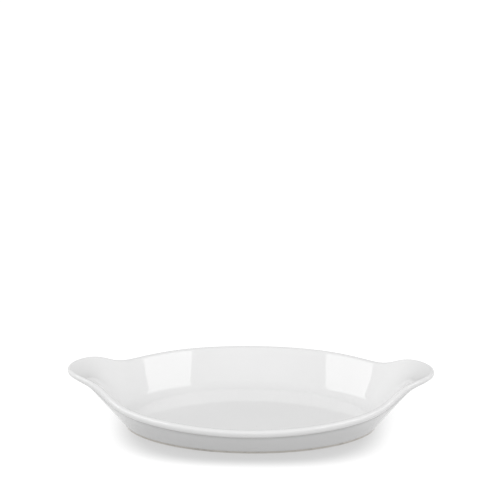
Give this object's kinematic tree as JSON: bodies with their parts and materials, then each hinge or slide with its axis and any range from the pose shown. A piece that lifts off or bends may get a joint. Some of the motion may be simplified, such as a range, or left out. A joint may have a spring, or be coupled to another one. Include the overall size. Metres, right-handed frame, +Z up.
{
  "type": "gratin dish",
  "caption": "Shallow oval ceramic gratin dish with a beaded rim that sweeps up into a rounded ear at each end, white glazed, on a bare foot ring.",
  "frame": {"origin": "on the table, under the middle of the dish", "axes": "+X along the dish from ear to ear, +Y across it, +Z up out of the bowl"},
  "size_m": [0.232, 0.125, 0.039],
  "materials": {
    "fired_clay": "bare fired stoneware, fine and matte, seen only on the foot ring",
    "white_glaze": "smooth glossy white glaze, neutral in tone"
  },
  "bodies": {
    "root": {"clay_body": "fired_clay", "upper_glaze": "white_glaze", "underside_glaze": "white_glaze"}
  },
  "joints": []
}
